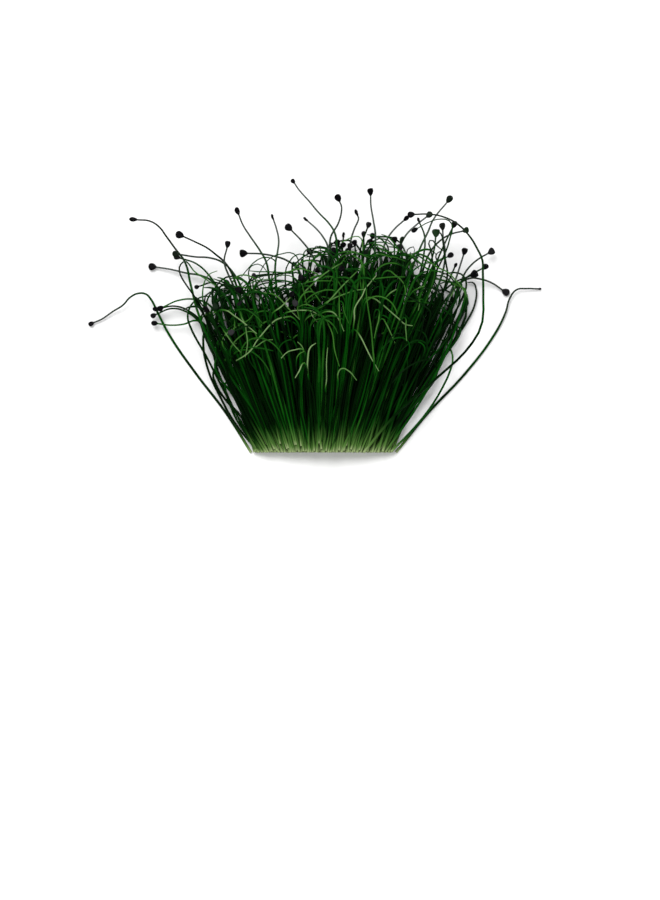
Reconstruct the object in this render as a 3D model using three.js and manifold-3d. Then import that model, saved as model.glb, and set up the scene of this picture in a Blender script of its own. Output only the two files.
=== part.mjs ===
// A cut bunch of chive sprouts, laid down on a flat surface.
// Millimetres. +Y runs from the cut ends towards the tips, +Z is up off the surface.
//
// Thin sprouts fan out from the gathered cut ends. Each long one keeps its own path and ends in
// the black seed hull that clings to its tip. Under them lie five dense tufts of shorter stems,
// whose cut ends press together.
import * as THREE from 'three';
import { mergeVertices } from 'three/addons/utils/BufferGeometryUtils.js';
import Module from 'manifold-3d';

const wasm = await Module();
wasm.setup();

// Driving dimensions
const STEM_FOOT_RADIUS = 0.6;
const STEM_TIP_RADIUS = 0.4;
const STEM_SIDES = 6;
const STEM_STEP_LENGTH = 8.5;

const HULL_LENGTH = 3.6;
const HULL_WIDTH = 3.0;
const HULL_THICKNESS = 1.7;
const HULL_SIDES = 8;
const HULL_GAP = 0.3;

const TUFT_STEM_FOOT_RADIUS = 0.9;
const TUFT_STEM_TIP_RADIUS = 0.5;
const TUFT_STEM_SIDES = 6;
const TUFT_STEM_STEPS = 4;
const TUFT_STEM_SPACING = 1.35;
const TUFT_LEVEL_HEIGHT = 1.2;
const TUFT_ROWS = [5, 4, 5];
const FOOT_LINE = -58.9;

// The long sprouts, from the cut end to the tip. The first four lie on the surface beside the
// tufts, and so do the last three, with one more just over them. The others lie over the tufts.
const SPROUTS = [
  { hull: true, path: [[-28.2, -59, 0.6], [-39, -42, 0.6], [-52, -25, 0.6], [-63.4, -8.5, 1.5],
    [-68.6, 1.5, 3.6], [-71.6, 7.4, 5.4], [-73.6, 9.4, 6], [-77, 9.7, 6], [-80.6, 7.9, 5],
    [-83.5, 4.8, 3.6], [-88, 2, 2.2], [-93, -1.4, 1.5], [-96.3, -2.8, 1.3]] },
  { hull: true, path: [[-25.8, -59, 0.6], [-31.5, -42, 0.6], [-38.5, -26, 0.6], [-45, -10, 1.6],
    [-49, -3, 3.4], [-52.5, -2, 4.6], [-57, -3.5, 4.9], [-63, -4, 4.6], [-68.6, -3.3, 4]] },
  { hull: true, path: [[-23.4, -59, 0.6], [-28.3, -42, 0.6], [-34.5, -24, 0.6], [-41, -4.5, 2],
    [-46, 4.5, 5], [-52, 7, 7.5], [-59.5, 6.6, 9], [-66, 3.8, 8.2]] },
  { hull: true, path: [[-21, -59, 0.6], [-25.5, -42, 0.6], [-31.5, -24, 0.6], [-38, -4.5, 0.8],
    [-41.5, 8.5, 2.4], [-45, 15, 4], [-50, 17.5, 4.6], [-56, 18.5, 4.2], [-63, 20.2, 2.6],
    [-69.3, 21.2, 1.6]] },
  { hull: true, path: [[-16, -59, 6.4], [-29, -38, 8], [-41, -20, 10], [-50.5, 0, 13], [-54, 13, 15],
    [-56.5, 23, 16.4], [-60.5, 28.5, 17.4], [-64.5, 34, 18.2], [-67.5, 38, 18.6], [-71.5, 40.5, 18.6],
    [-77, 41.1, 18]] },
  { hull: true, path: [[-13.6, -59, 6.4], [-20, -34, 8.6], [-28, -10, 12], [-33.5, 10, 15],
    [-36.5, 18.5, 16.4], [-39.5, 23, 17.6], [-43, 26, 18.8], [-47, 29, 20], [-52, 31.5, 20.8],
    [-57, 33.8, 21]] },
  { hull: true, path: [[-11.2, -59, 6.4], [-17, -34, 8], [-25.5, -10, 10], [-31.5, 10, 11.6],
    [-35.5, 18, 12.4], [-40.5, 23, 12.8], [-46, 24.9, 12.8], [-52, 25.3, 12.4], [-58.9, 26.4, 11.4]] },
  { hull: true, path: [[-8.8, -59, 6.4], [-14.5, -36, 9.4], [-23, -14, 14], [-32, 6, 19],
    [-37.5, 17, 22.5], [-39.4, 23, 24.6], [-38.2, 28.8, 26]] },
  { hull: true, path: [[-6.4, -59, 6.4], [-11, -32, 10], [-16.5, -5, 16], [-20, 15, 21], [-21.5, 23, 24],
    [-24, 27.5, 26], [-28.5, 34, 28.4], [-31.4, 38.6, 29.6], [-33.1, 42.9, 30]] },
  { hull: true, path: [[-3.8, -59, 6.4], [-8, -32, 9.6], [-13.5, -8, 14.2], [-17, 12, 20],
    [-17.5, 21.5, 24.4], [-16.5, 27, 27], [-16, 32, 29], [-17, 37, 30.4], [-18.2, 40.6, 31]] },
  { hull: true, path: [[-1.2, -59, 6.4], [-3.6, -32, 9.6], [-5, -5, 14.4], [-5, 12, 18], [-8, 20, 19.4],
    [-12.5, 23.5, 19.8], [-18.5, 25.5, 19.4], [-23.5, 26.4, 18.4], [-29.6, 26.7, 17]] },
  { hull: true, path: [[1.4, -59, 6.4], [2, -30, 10], [4, 0, 16], [5.2, 20, 22], [5, 29.5, 25.4],
    [3, 33.4, 27], [0, 37, 28.2], [-3.5, 40.1, 28.8]] },
  { hull: true, path: [[4, -59, 6.4], [5.4, -34, 9.8], [7.4, -8, 15.8], [9, 12, 22], [9, 28, 29],
    [8, 35, 32.6], [5.5, 39, 34.6], [1.4, 43.2, 36.4], [-3.2, 48.6, 38], [-7.3, 53.2, 38.4],
    [-9.2, 56, 38.2]] },
  { hull: true, path: [[6.7, -59, 6.4], [8.6, -30, 9.6], [9.4, -8, 13.4], [7.5, 8.5, 16],
    [3.5, 16.5, 17.2], [0, 22.5, 17.8], [-2.6, 27.4, 18.2], [-6.1, 31.9, 18.4], [-10.6, 36.6, 18.2]] },
  { hull: true, path: [[9.2, -59, 6.4], [11, -32, 9.6], [12, -6, 14.4], [10.2, 14, 19], [6.6, 26, 21.8],
    [6.2, 33, 23.8], [9.6, 39.4, 25.7], [10.9, 44.2, 27.1], [10.9, 46.6, 27.7], [10.1, 48.6, 28]] },
  { hull: true, path: [[11.8, -59, 6.4], [14, -28, 9.8], [16, 0, 14.4], [15.4, 20, 17], [14.8, 31, 18.6],
    [16.6, 37.4, 19.4], [18, 40.4, 19.7], [18.3, 41.8, 19.8], [17.9, 42.8, 19.8]] },
  { hull: true, path: [[14.3, -59, 6.4], [17.5, -28, 10.2], [21.4, 0, 16.4], [24.6, 22, 22],
    [25.5, 34, 26], [24.5, 41, 28.4], [23.5, 47, 30.2], [23.4, 51, 31]] },
  { hull: true, path: [[16.8, -59, 6.4], [20.6, -28, 9.8], [25, 0, 14.2], [27.4, 20, 16.4],
    [29, 29, 17.4], [31, 33.5, 18], [34, 37.4, 18.2], [37.8, 40.8, 18]] },
  { hull: true, path: [[19.3, -59, 6.4], [24.6, -26, 9.6], [30.4, 2, 13.4], [34, 20, 15.2], [36, 29, 16],
    [38.6, 34.4, 16.4], [43, 38.8, 16.6], [47.6, 42.4, 16.4]] },
  { hull: true, path: [[21.8, -59, 6.4], [28.6, -26, 10], [36.4, 4, 15.2], [42, 22, 19],
    [45.5, 30.5, 21.2], [48, 35.5, 22.6], [50.4, 41, 24], [56.2, 48.3, 25]] },
  { hull: true, path: [[24.3, -59, 6.4], [31.4, -28, 9], [39.6, 0, 11.8], [45.6, 18, 13], [49, 27, 13.6],
    [53.2, 32, 13.8], [58, 35, 13.4], [63.2, 36.4, 12.4]] },
  { hull: true, path: [[26.8, -59, 6.4], [35, -30, 9.8], [45, -4, 14.4], [52.6, 13, 18.4], [55, 21, 20.8],
    [55.4, 28, 22.8], [54.6, 33, 24.2], [54.4, 36.4, 25]] },
  { hull: true, path: [[20.6, -59, 8.2], [34, -43, 11], [52, -27, 15.5], [66, -13.5, 20],
    [71.2, -4, 22.8], [71.8, 8, 25], [71.6, 18, 26.6], [71.4, 23.2, 27.6], [69, 28.5, 29],
    [65.5, 34, 30.6], [60, 39.2, 32], [54, 42, 32.6], [48, 43, 32.4], [42.2, 42.9, 31.6]] },
  { hull: true, path: [[28.8, -58.5, 6.4], [38, -32, 8.8], [49, -10, 10.8], [57.5, 8.5, 12.2],
    [60.5, 16.5, 12.8], [63.6, 26.2, 13]] },
  { hull: true, path: [[31, -59, 2.6], [40.5, -34, 3.4], [51, -12, 4.8], [60, 6, 6.4], [62.2, 13, 7.2],
    [64.4, 18.6, 7.4], [67.2, 22.1, 7.2], [71, 25.1, 6.6], [74.4, 27, 5.8]] },
  { hull: true, path: [[29.2, -59, 0.6], [38.6, -38, 0.6], [49.6, -18, 0.7], [57.4, -2, 1], [60.2, 9, 2],
    [62.6, 14.2, 3], [66.5, 16.3, 3.6], [71, 16, 3.4], [76.1, 14.3, 2.6], [80.7, 11.3, 1.6]] },
  { hull: true, path: [[34.6, -59, 0.6], [48.4, -42, 0.6], [64.4, -25, 0.6], [77.2, -8, 0.8],
    [82, 1.5, 1.6], [84, 8, 2.2], [86.8, 11.4, 2.4], [91, 11.9, 2], [96.12, 11.8, 1.4]] },
  { hull: false, path: [[32, -59, 0.6], [43.4, -36, 0.6], [56.4, -15, 0.8], [66, -1, 1.2], [68.9, 6, 1.6],
    [69.2, 12, 2], [68, 14.4, 2.2], [65.5, 14.5, 2.2]] },
];

// The tufts, from left to right. lean is how far the tips spread sideways for each millimetre
// of length.
const TUFTS = [
  { footX: -12.6, lean: -0.3, length: 58, rise: 0.065 },
  { footX: -3.7, lean: -0.12, length: 68, rise: 0.075 },
  { footX: 5.2, lean: 0.05, length: 74, rise: 0.08 },
  { footX: 14.1, lean: 0.21, length: 70, rise: 0.075 },
  { footX: 23, lean: 0.4, length: 60, rise: 0.065 },
];
const TUFT_SPREAD = 0.045;
const TUFT_LENGTH_STEP = 0.09;

const sproutMaterial = new THREE.MeshStandardMaterial({ color: 0x2f7a2c, roughness: 0.5, metalness: 0 });
const tuftMaterial = new THREE.MeshStandardMaterial({ color: 0x1f6a22, roughness: 0.5, metalness: 0 });
const hullMaterial = new THREE.MeshStandardMaterial({ color: 0x17151b, roughness: 0.7, metalness: 0 });

// A closed tube along a curve, thinner towards the tip.
function taperedTube(curve, footRadius, tipRadius, sides, steps) {
  const section = new THREE.Shape();
  for (let side = 0; side < sides; side += 1) {
    const angle = (side / sides) * 2 * Math.PI;
    const x = footRadius * Math.cos(angle);
    const y = footRadius * Math.sin(angle);
    if (side === 0) section.moveTo(x, y);
    else section.lineTo(x, y);
  }
  section.closePath();
  const tube = new THREE.ExtrudeGeometry(section, { steps, extrudePath: curve, bevelEnabled: false });
  const rings = curve.getSpacedPoints(steps);
  const position = tube.attributes.position;
  const vertex = new THREE.Vector3();
  for (let i = 0; i < position.count; i += 1) {
    vertex.fromBufferAttribute(position, i);
    const distances = rings.map((ring) => ring.distanceTo(vertex));
    const step = distances.indexOf(Math.min(...distances));
    const taper = THREE.MathUtils.lerp(1, tipRadius / footRadius, step / steps);
    vertex.sub(rings[step]).multiplyScalar(taper).add(rings[step]);
    position.setXYZ(i, vertex.x, vertex.y, vertex.z);
  }
  return tube;
}

// The same geometry with its shared corners merged.
function weld(geometry) {
  const welded = geometry.clone();
  welded.deleteAttribute('normal');
  welded.deleteAttribute('uv');
  return mergeVertices(welded, 1e-4);
}

function toSolid(geometry) {
  const welded = weld(geometry);
  return new wasm.Manifold(new wasm.Mesh({
    numProp: 3,
    vertProperties: new Float32Array(welded.attributes.position.array),
    triVerts: new Uint32Array(welded.index.array),
  }));
}

function toGeometry(solid) {
  const mesh = solid.getMesh();
  const geometry = new THREE.BufferGeometry();
  geometry.setAttribute('position', new THREE.BufferAttribute(mesh.vertProperties, 3));
  geometry.setIndex(new THREE.BufferAttribute(mesh.triVerts, 1));
  geometry.computeVertexNormals();
  return geometry;
}

function sproutCurve(path) {
  return new THREE.CatmullRomCurve3(path.map((point) => new THREE.Vector3(...point)), false, 'centripetal');
}

function sproutMesh(name, curve) {
  const steps = Math.round(curve.getLength() / STEM_STEP_LENGTH);
  const tube = taperedTube(curve, STEM_FOOT_RADIUS, STEM_TIP_RADIUS, STEM_SIDES, steps);
  const mesh = new THREE.Mesh(weld(tube), sproutMaterial);
  mesh.name = name;
  return mesh;
}

// The seed hull is a flattened drop, narrow where it holds the stem.
function hullGeometry() {
  const halfLength = HULL_LENGTH / 2;
  const profile = [
    new THREE.Vector2(0, -halfLength),
    new THREE.Vector2(HULL_WIDTH * 0.3, -halfLength * 0.72),
    new THREE.Vector2(HULL_WIDTH * 0.5, halfLength * 0.05),
    new THREE.Vector2(HULL_WIDTH * 0.4, halfLength * 0.66),
    new THREE.Vector2(0, halfLength),
  ];
  const hull = new THREE.LatheGeometry(profile, HULL_SIDES);
  hull.scale(1, 1, HULL_THICKNESS / HULL_WIDTH);
  return weld(hull);
}

const sharedHull = hullGeometry();

// The hull hangs on past the tip of the stem, in line with it and lying flat.
function hullMesh(name, curve) {
  const along = curve.getTangentAt(1);
  const across = new THREE.Vector3(0, 0, 1).cross(along).normalize();
  const thickness = along.clone().cross(across).negate();
  const mesh = new THREE.Mesh(sharedHull, hullMaterial);
  mesh.name = name;
  mesh.quaternion.setFromRotationMatrix(new THREE.Matrix4().makeBasis(across, along, thickness));
  mesh.position.copy(curve.getPointAt(1)).addScaledVector(along, HULL_GAP + HULL_LENGTH / 2);
  return mesh;
}

// One tuft: rows of stems whose lower ends press into each other and whose tips part.
function tuftMesh(name, tuft) {
  let solid = null;
  TUFT_ROWS.forEach((count, level) => {
    const footZ = TUFT_STEM_FOOT_RADIUS + level * TUFT_LEVEL_HEIGHT;
    for (let i = 0; i < count; i += 1) {
      const place = i - (count - 1) / 2;
      const length = tuft.length * (1 - TUFT_LENGTH_STEP * ((i * 2 + level) % 4));
      const lean = tuft.lean + place * TUFT_SPREAD;
      const rise = tuft.rise * level;
      const footX = place * TUFT_STEM_SPACING;
      const curve = new THREE.CubicBezierCurve3(
        new THREE.Vector3(footX, 0, footZ),
        new THREE.Vector3(footX + lean * length * 0.25, length * 0.33, footZ),
        new THREE.Vector3(footX + lean * length * 0.62, length * 0.66, footZ + rise * length * 0.4),
        new THREE.Vector3(footX + lean * length, length, footZ + rise * length),
      );
      const stem = toSolid(taperedTube(
        curve, TUFT_STEM_FOOT_RADIUS, TUFT_STEM_TIP_RADIUS, TUFT_STEM_SIDES, TUFT_STEM_STEPS));
      solid = solid === null ? stem : solid.add(stem);
    }
  });
  const mesh = new THREE.Mesh(toGeometry(solid), tuftMaterial);
  mesh.name = name;
  mesh.position.set(tuft.footX, FOOT_LINE, 0);
  return mesh;
}

const bunch = new THREE.Group();
const twoDigits = (index) => String(index + 1).padStart(2, '0');

SPROUTS.forEach((sprout, index) => {
  const curve = sproutCurve(sprout.path);
  bunch.add(sproutMesh(`sprout_${twoDigits(index)}`, curve));
  if (sprout.hull) bunch.add(hullMesh(`seed_hull_${twoDigits(index)}`, curve));
});
TUFTS.forEach((tuft, index) => bunch.add(tuftMesh(`tuft_${twoDigits(index)}`, tuft)));

// The origin is the middle of the bunch, on the surface that it lies on.
const extent = new THREE.Box3().setFromObject(bunch, true);
const middle = extent.getCenter(new THREE.Vector3());
bunch.position.set(-middle.x, -middle.y, -extent.min.z);

export default bunch;
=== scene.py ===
import math
import random

import bpy
from mathutils import Matrix, Vector


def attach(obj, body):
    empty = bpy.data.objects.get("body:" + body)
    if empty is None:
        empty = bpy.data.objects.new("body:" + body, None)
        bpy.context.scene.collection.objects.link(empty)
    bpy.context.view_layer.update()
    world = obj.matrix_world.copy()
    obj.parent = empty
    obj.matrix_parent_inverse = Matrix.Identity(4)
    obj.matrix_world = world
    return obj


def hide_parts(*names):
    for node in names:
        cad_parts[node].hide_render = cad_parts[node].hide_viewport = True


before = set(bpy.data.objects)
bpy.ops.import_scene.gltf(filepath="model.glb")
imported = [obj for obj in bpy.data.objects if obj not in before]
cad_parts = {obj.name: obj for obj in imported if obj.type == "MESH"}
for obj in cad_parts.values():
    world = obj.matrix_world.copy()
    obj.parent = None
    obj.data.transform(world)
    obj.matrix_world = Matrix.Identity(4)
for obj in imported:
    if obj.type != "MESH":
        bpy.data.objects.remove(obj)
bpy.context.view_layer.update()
mm = 0.001   # sizes below are in millimetres
dice = random.Random(41)

# the routes of the long sprouts, from the cut end to the tip, as in the frame
longRoutes = [
    [(-28.2, -59, 0.6), (-39, -42, 0.6), (-52, -25, 0.6), (-63.4, -8.5, 1.5), (-68.6, 1.5, 3.6),
     (-71.6, 7.4, 5.4), (-73.6, 9.4, 6), (-77, 9.7, 6), (-80.6, 7.9, 5), (-83.5, 4.8, 3.6),
     (-88, 2, 2.2), (-93, -1.4, 1.5), (-96.3, -2.8, 1.3)],
    [(-25.8, -59, 0.6), (-31.5, -42, 0.6), (-38.5, -26, 0.6), (-45, -10, 1.6), (-49, -3, 3.4),
     (-52.5, -2, 4.6), (-57, -3.5, 4.9), (-63, -4, 4.6), (-68.6, -3.3, 4)],
    [(-23.4, -59, 0.6), (-28.3, -42, 0.6), (-34.5, -24, 0.6), (-41, -4.5, 2), (-46, 4.5, 5),
     (-52, 7, 7.5), (-59.5, 6.6, 9), (-66, 3.8, 8.2)],
    [(-21, -59, 0.6), (-25.5, -42, 0.6), (-31.5, -24, 0.6), (-38, -4.5, 0.8), (-41.5, 8.5, 2.4),
     (-45, 15, 4), (-50, 17.5, 4.6), (-56, 18.5, 4.2), (-63, 20.2, 2.6), (-69.3, 21.2, 1.6)],
    [(-16, -59, 6.4), (-29, -38, 8), (-41, -20, 10), (-50.5, 0, 13), (-54, 13, 15), (-56.5, 23, 16.4),
     (-60.5, 28.5, 17.4), (-64.5, 34, 18.2), (-67.5, 38, 18.6), (-71.5, 40.5, 18.6), (-77, 41.1, 18)],
    [(-13.6, -59, 6.4), (-20, -34, 8.6), (-28, -10, 12), (-33.5, 10, 15), (-36.5, 18.5, 16.4),
     (-39.5, 23, 17.6), (-43, 26, 18.8), (-47, 29, 20), (-52, 31.5, 20.8), (-57, 33.8, 21)],
    [(-11.2, -59, 6.4), (-17, -34, 8), (-25.5, -10, 10), (-31.5, 10, 11.6), (-35.5, 18, 12.4),
     (-40.5, 23, 12.8), (-46, 24.9, 12.8), (-52, 25.3, 12.4), (-58.9, 26.4, 11.4)],
    [(-8.8, -59, 6.4), (-14.5, -36, 9.4), (-23, -14, 14), (-32, 6, 19), (-37.5, 17, 22.5),
     (-39.4, 23, 24.6), (-38.2, 28.8, 26)],
    [(-6.4, -59, 6.4), (-11, -32, 10), (-16.5, -5, 16), (-20, 15, 21), (-21.5, 23, 24),
     (-24, 27.5, 26), (-28.5, 34, 28.4), (-31.4, 38.6, 29.6), (-33.1, 42.9, 30)],
    [(-3.8, -59, 6.4), (-8, -32, 9.6), (-13.5, -8, 14.2), (-17, 12, 20), (-17.5, 21.5, 24.4),
     (-16.5, 27, 27), (-16, 32, 29), (-17, 37, 30.4), (-18.2, 40.6, 31)],
    [(-1.2, -59, 6.4), (-3.6, -32, 9.6), (-5, -5, 14.4), (-5, 12, 18), (-8, 20, 19.4),
     (-12.5, 23.5, 19.8), (-18.5, 25.5, 19.4), (-23.5, 26.4, 18.4), (-29.6, 26.7, 17)],
    [(1.4, -59, 6.4), (2, -30, 10), (4, 0, 16), (5.2, 20, 22), (5, 29.5, 25.4), (3, 33.4, 27),
     (0, 37, 28.2), (-3.5, 40.1, 28.8)],
    [(4, -59, 6.4), (5.4, -34, 9.8), (7.4, -8, 15.8), (9, 12, 22), (9, 28, 29), (8, 35, 32.6),
     (5.5, 39, 34.6), (1.4, 43.2, 36.4), (-3.2, 48.6, 38), (-7.3, 53.2, 38.4), (-9.2, 56, 38.2)],
    [(6.7, -59, 6.4), (8.6, -30, 9.6), (9.4, -8, 13.4), (7.5, 8.5, 16), (3.5, 16.5, 17.2),
     (0, 22.5, 17.8), (-2.6, 27.4, 18.2), (-6.1, 31.9, 18.4), (-10.6, 36.6, 18.2)],
    [(9.2, -59, 6.4), (11, -32, 9.6), (12, -6, 14.4), (10.2, 14, 19), (6.6, 26, 21.8), (6.2, 33, 23.8),
     (9.6, 39.4, 25.7), (10.9, 44.2, 27.1), (10.9, 46.6, 27.7), (10.1, 48.6, 28)],
    [(11.8, -59, 6.4), (14, -28, 9.8), (16, 0, 14.4), (15.4, 20, 17), (14.8, 31, 18.6),
     (16.6, 37.4, 19.4), (18, 40.4, 19.7), (18.3, 41.8, 19.8), (17.9, 42.8, 19.8)],
    [(14.3, -59, 6.4), (17.5, -28, 10.2), (21.4, 0, 16.4), (24.6, 22, 22), (25.5, 34, 26),
     (24.5, 41, 28.4), (23.5, 47, 30.2), (23.4, 51, 31)],
    [(16.8, -59, 6.4), (20.6, -28, 9.8), (25, 0, 14.2), (27.4, 20, 16.4), (29, 29, 17.4),
     (31, 33.5, 18), (34, 37.4, 18.2), (37.8, 40.8, 18)],
    [(19.3, -59, 6.4), (24.6, -26, 9.6), (30.4, 2, 13.4), (34, 20, 15.2), (36, 29, 16),
     (38.6, 34.4, 16.4), (43, 38.8, 16.6), (47.6, 42.4, 16.4)],
    [(21.8, -59, 6.4), (28.6, -26, 10), (36.4, 4, 15.2), (42, 22, 19), (45.5, 30.5, 21.2),
     (48, 35.5, 22.6), (50.4, 41, 24), (56.2, 48.3, 25)],
    [(24.3, -59, 6.4), (31.4, -28, 9), (39.6, 0, 11.8), (45.6, 18, 13), (49, 27, 13.6),
     (53.2, 32, 13.8), (58, 35, 13.4), (63.2, 36.4, 12.4)],
    [(26.8, -59, 6.4), (35, -30, 9.8), (45, -4, 14.4), (52.6, 13, 18.4), (55, 21, 20.8),
     (55.4, 28, 22.8), (54.6, 33, 24.2), (54.4, 36.4, 25)],
    [(20.6, -59, 8.2), (34, -43, 11), (52, -27, 15.5), (66, -13.5, 20), (71.2, -4, 22.8),
     (71.8, 8, 25), (71.6, 18, 26.6), (71.4, 23.2, 27.6), (69, 28.5, 29), (65.5, 34, 30.6),
     (60, 39.2, 32), (54, 42, 32.6), (48, 43, 32.4), (42.2, 42.9, 31.6)],
    [(28.8, -58.5, 6.4), (38, -32, 8.8), (49, -10, 10.8), (57.5, 8.5, 12.2), (60.5, 16.5, 12.8),
     (63.6, 26.2, 13)],
    [(31, -59, 2.6), (40.5, -34, 3.4), (51, -12, 4.8), (60, 6, 6.4), (62.2, 13, 7.2),
     (64.4, 18.6, 7.4), (67.2, 22.1, 7.2), (71, 25.1, 6.6), (74.4, 27, 5.8)],
    [(29.2, -59, 0.6), (38.6, -38, 0.6), (49.6, -18, 0.7), (57.4, -2, 1), (60.2, 9, 2),
     (62.6, 14.2, 3), (66.5, 16.3, 3.6), (71, 16, 3.4), (76.1, 14.3, 2.6), (80.7, 11.3, 1.6)],
    [(34.6, -59, 0.6), (48.4, -42, 0.6), (64.4, -25, 0.6), (77.2, -8, 0.8), (82, 1.5, 1.6),
     (84, 8, 2.2), (86.8, 11.4, 2.4), (91, 11.9, 2), (96.12, 11.8, 1.4)],
    [(32, -59, 0.6), (43.4, -36, 0.6), (56.4, -15, 0.8), (66, -1, 1.2), (68.9, 6, 1.6), (69.2, 12, 2),
     (68, 14.4, 2.2), (65.5, 14.5, 2.2)],
]
bareSprouts = [28]   # long sprouts with no hull on the tip

# how pale each long sprout is near its tip, from 0.2 to 0.65
tipTones = [
    0.42, 0.64, 0.62, 0.5, 0.24, 0.24, 0.4, 0.42, 0.48, 0.6, 0.36, 0.56, 0.56, 0.44, 0.46, 0.48,
    0.56, 0.58, 0.62, 0.58, 0.4, 0.48, 0.28, 0.5, 0.44, 0.26, 0.34, 0.3,
]
bendTones = {1: 0.6, 4: 0.6, 5: 0.68, 7: 0.62, 11: 0.58, 18: 0.6, 20: 0.58}   # greener where they bend
greenTips = [2, 3]   # these stay green up to the hull

# looks of each long sprout's hull: length, and how far it is rolled about the stem in degrees
longHulls = {
    1: (2.9, 20), 2: (3.2, 40), 3: (3.3, -15), 4: (3.8, 10), 5: (3.9, 62), 6: (4.0, 8), 7: (3.6, 15),
    8: (3.4, -12), 9: (3.7, 48), 10: (3.0, 84), 11: (3.8, -10), 12: (2.9, 78), 13: (2.5, 20),
    14: (3.8, 5), 15: (3.7, -20), 16: (3.3, 74), 17: (3.6, 15), 18: (3.2, 50), 19: (3.4, 25),
    20: (3.9, -12), 21: (3.2, 30), 22: (3.6, 12), 23: (3.4, 20), 24: (3.4, -25), 25: (3.5, 12),
    26: (3.8, 10), 27: (1.9, 60),
}
wedgeHulls = [8, 11, 17, 21, 22, 24, 25]   # these are three-cornered, the others are drops
# how fresh and how faded some of the hulls are
hullTints = {19: (0.45, 0.4), 21: (0.5, 0), 22: (0.1, 0.25), 25: (0.05, 0.4), 26: (0, 0.35), 8: (0, 0.1)}

# more sprouts that end in a hull at a known place: x, y, z, heading in degrees from +Y towards +X,
# hull length, roll, and a tint for some
tipPlaces = [
    (33.5, 32.5, 20, -8, 3.3, 20), (37, 32.6, 22, 20, 3.2, 55), (35.6, 29.2, 18, -25, 3.4, 0),
    (22.8, 38.7, 25, 28, 3.0, 30), (20.2, 34.8, 22, -10, 3.3, 60), (24.3, 34.4, 20, 8, 2.8, 10),
    (23.2, 31.2, 23, -35, 3.4, 15), (21.9, 26.7, 25, 40, 3.2, -20), (11.8, 34.4, 26, 4, 3.0, 82),
    (8.8, 31, 24, -30, 3.4, 10), (12, 29.7, 26, 60, 3.2, 35), (14.7, 29.7, 22, 15, 3.3, -30),
    (16.4, 31, 25, -12, 3.1, 12), (7.5, 26.7, 26, -48, 3.3, 8), (6.2, 30.2, 22, 5, 3.1, 66),
    (43.6, 40.9, 20, -42, 2.6, 70), (59.6, 39.1, 22, 30, 3.5, 10), (51.2, 35.4, 24, -6, 3.8, 5, (1, 0)),
    (60.2, 21.9, 15, 22, 2.4, 50), (68.4, 17.4, 14, 80, 3.8, 10), (-26.7, 16.8, 25, -20, 3.2, 30, (0, 0.8)),
    (-6.5, 15.7, 28, 160, 3.2, 10), (-6, 23.2, 22, -8, 2.6, 75), (-38.7, 13.8, 22, -70, 3.1, 25),
    (-33.3, 10.5, 24, 120, 3.3, 5), (-10.3, 8.6, 28, 200, 3.0, 35), (10.8, 19.4, 30, -100, 3.2, 10),
    (-9, 4.7, 28, 150, 3.3, 12), (-32.7, 4.7, 24, -150, 3.0, 60), (-36.6, -7.7, 22, -120, 3.2, 10, (0, 1)),
    (-51.6, 12, 12, -120, 2.4, 20), (-47.3, 2.4, 19, 140, 3.3, 30), (-43.2, 3.6, 20, 165, 3.2, -10),
    (-69.5, 2.6, 5.6, -112, 3.0, 40), (-70.5, -0.2, 4.4, -125, 2.8, 15), (-60.3, 25, 8.6, -86, 3.3, -20),
    (73.3, 20.8, 12, 72, 3.4, 10, (0, 0)),
]

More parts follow.
